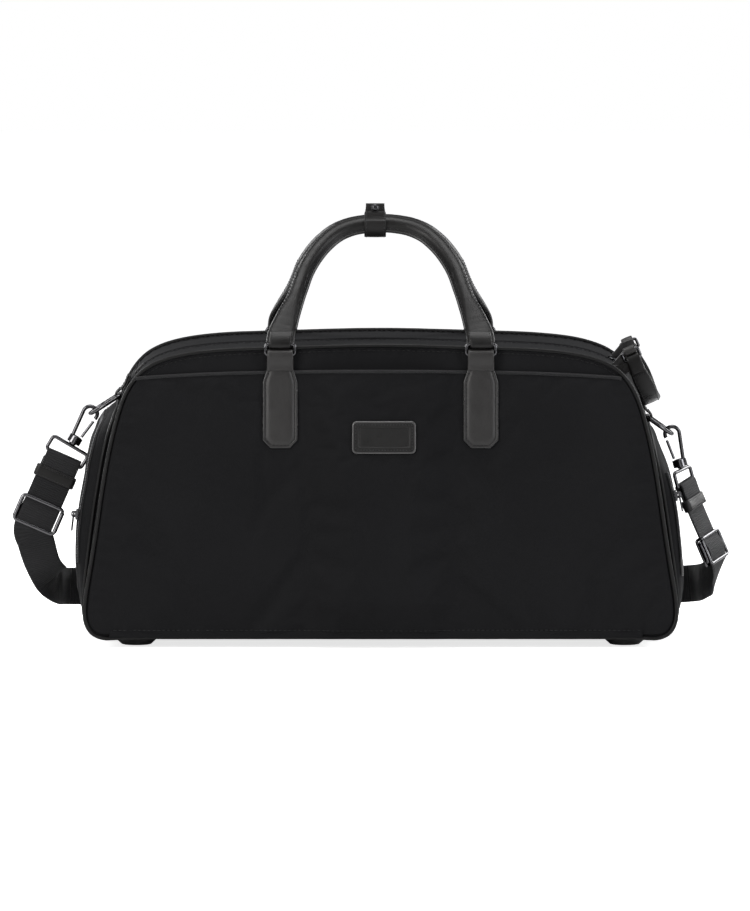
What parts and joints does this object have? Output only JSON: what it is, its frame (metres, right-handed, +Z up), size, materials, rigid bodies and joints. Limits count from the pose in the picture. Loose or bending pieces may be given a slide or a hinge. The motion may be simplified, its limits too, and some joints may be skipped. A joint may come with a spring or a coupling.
{
  "type": "weekender bag",
  "caption": "Soft black weekender bag with arched carry handles, zipped top, luggage sleeve, end pockets, end grab strap and a clip-on shoulder strap.",
  "frame": {"origin": "on the floor plane of the feet, midway between the feet in both directions", "axes": "+X to the bag's right when its luggage-sleeve side is faced, +Y from the luggage-sleeve side to the other side, +Z up"},
  "size_m": [0.6254, 0.2565, 0.379],
  "materials": {
    "shell_fabric": "dense woven nylon with a soft sheen",
    "edge_binding": "close ribbed binding tape",
    "seam_piping": "glossy bound piping",
    "handle_leather": "smooth black leather with painted edges",
    "patch_face": "blank pressed leather",
    "polished_metal": "polished dark nickel",
    "zip_metal": "dark plated zipper metal",
    "zip_teeth": "moulded coil teeth",
    "zip_tape": "woven zipper tape",
    "strap_web": "ribbed nylon webbing",
    "foot_rubber": "moulded matt rubber",
    "stiffener": "plastic board",
    "rivet_metal": "plain steel"
  },
  "bodies": {
    "bag": {"left_d_ring": "polished_metal", "right_d_ring": "polished_metal", "base_panel": "shell_fabric", "base_board": "stiffener", "rear_panel": "shell_fabric", "front_panel": "shell_fabric", "top_gusset_rear": "shell_fabric", "top_gusset_front": "shell_fabric", "left_end_panel": "shell_fabric", "right_end_panel": "shell_fabric", "rear_piping": "seam_piping", "front_piping": "seam_piping", "trolley_sleeve": "shell_fabric", "sleeve_binding": "edge_binding", "id_patch_backing": "handle_leather", "id_patch_insert": "patch_face", "rear_tab_left": "handle_leather", "rear_tab_right": "handle_leather", "front_tab_left": "handle_leather", "front_tab_right": "handle_leather", "top_zipper_tape": "zip_tape", "top_zipper_chain": "zip_teeth", "left_pocket": "shell_fabric", "left_pocket_zipper": "zip_tape", "right_pocket": "shell_fabric", "right_pocket_zipper": "zip_tape", "end_handle_anchors": "handle_leather", "left_strap_anchor": "handle_leather", "right_strap_anchor": "handle_leather", "feet": "foot_rubber", "foot_rivets": "rivet_metal"},
    "rear_rings": {"rear_handle_rings": "polished_metal"},
    "rear_grip": {"rear_handle": "handle_leather", "rear_handle_wrap": "handle_leather", "rear_snap_cap": "polished_metal"},
    "front_rings": {"front_handle_rings": "polished_metal"},
    "front_grip": {"front_handle": "handle_leather", "front_handle_wrap": "handle_leather", "front_snap_cap": "polished_metal"},
    "main_slider": {"top_zip_slider": "zip_metal"},
    "main_pull": {"top_zip_pull": "zip_metal"},
    "left_slider": {"left_pocket_slider": "zip_metal"},
    "left_pull": {"left_pocket_pull": "zip_metal"},
    "right_slider": {"right_pocket_slider": "zip_metal"},
    "right_pull": {"right_pocket_pull": "zip_metal"},
    "end_grip": {"end_handle_strap": "handle_leather", "end_handle_rings": "polished_metal"},
    "strap": {"strap_webbing": "strap_web", "left_snap_hook": "polished_metal", "right_snap_hook": "polished_metal", "left_strap_loop": "polished_metal", "right_strap_loop": "polished_metal", "left_keeper": "handle_leather", "right_keeper": "handle_leather"},
    "left_gate": {"left_hook_gate": "polished_metal"},
    "right_gate": {"right_hook_gate": "polished_metal"},
    "left_tri_glide": {"left_adjuster": "polished_metal"},
    "right_tri_glide": {"right_adjuster": "polished_metal"}
  },
  "joints": [
    {"name": "rear_rings_swing", "type": "hinge", "parent": "bag", "child": "rear_rings", "pos_m": [0, -0.09702, 0.25288], "axis": [1, 0, 0], "range_deg": [0, 45]},
    {"name": "rear_handle_swing", "type": "hinge", "parent": "rear_rings", "child": "rear_grip", "pos_m": [0, -0.09702, 0.26228], "axis": [1, 0, 0], "range_deg": [0, 140]},
    {"name": "front_rings_swing", "type": "hinge", "parent": "bag", "child": "front_rings", "pos_m": [0, 0.09702, 0.25288], "axis": [-1, 0, 0], "range_deg": [0, 45]},
    {"name": "front_handle_swing", "type": "hinge", "parent": "front_rings", "child": "front_grip", "pos_m": [0, 0.09702, 0.26228], "axis": [-1, 0, 0], "range_deg": [0, 140]},
    {"name": "top_zip_travel", "type": "hinge", "parent": "bag", "child": "main_slider", "pos_m": [0, 0, -0.77589], "axis": [0, -1, 0], "range_deg": [0, 22.27]},
    {"name": "top_pull_flip", "type": "hinge", "parent": "main_slider", "child": "main_pull", "pos_m": [0.20058, 0, 0.24294], "axis": [0, -1, 0], "range_deg": [0, 150]},
    {"name": "left_pocket_zip_travel", "type": "slide", "parent": "bag", "child": "left_slider", "axis": [-0.1128, 0, -0.9936], "range_m": [0, 0.05]},
    {"name": "left_pocket_pull_flip", "type": "hinge", "parent": "left_slider", "child": "left_pull", "pos_m": [-0.2666, -0.072, 0.11266], "axis": [0, 1, 0], "range_deg": [0, 120]},
    {"name": "right_pocket_zip_travel", "type": "slide", "parent": "bag", "child": "right_slider", "axis": [0.2053, 0, -0.9787], "range_m": [0, 0.04]},
    {"name": "right_pocket_pull_flip", "type": "hinge", "parent": "right_slider", "child": "right_pull", "pos_m": [0.25931, -0.072, 0.1292], "axis": [0, -1, 0], "range_deg": [0, 120]},
    {"name": "end_handle_lift", "type": "hinge", "parent": "bag", "child": "end_grip", "pos_m": [0.21631, 0, 0.25334], "axis": [0, -1, 0], "range_deg": [0, 105]},
    {"name": "shoulder_strap_swing", "type": "hinge", "parent": "bag", "child": "strap", "pos_m": [-0.2534, 0, 0.1942], "axis": [0.9994, 0, -0.0348], "range_deg": [0, 45]},
    {"name": "left_gate_open", "type": "hinge", "parent": "strap", "child": "left_gate", "pos_m": [-0.26107, 0, 0.17351], "axis": [0, -1, 0], "range_deg": [0, 18], "stiffness_Nm_per_rad": 0.02},
    {"name": "right_gate_open", "type": "hinge", "parent": "strap", "child": "right_gate", "pos_m": [0.25628, 0, 0.15451], "axis": [0, 1, 0], "range_deg": [0, 18], "stiffness_Nm_per_rad": 0.02},
    {"name": "left_adjuster_slide", "type": "slide", "parent": "strap", "child": "left_tri_glide", "axis": [0.3975, 0, 0.9176], "range_m": [0, 0.018]},
    {"name": "right_adjuster_slide", "type": "slide", "parent": "strap", "child": "right_tri_glide", "axis": [-0.3947, 0, 0.9188], "range_m": [0, 0.014]}
  ]
}
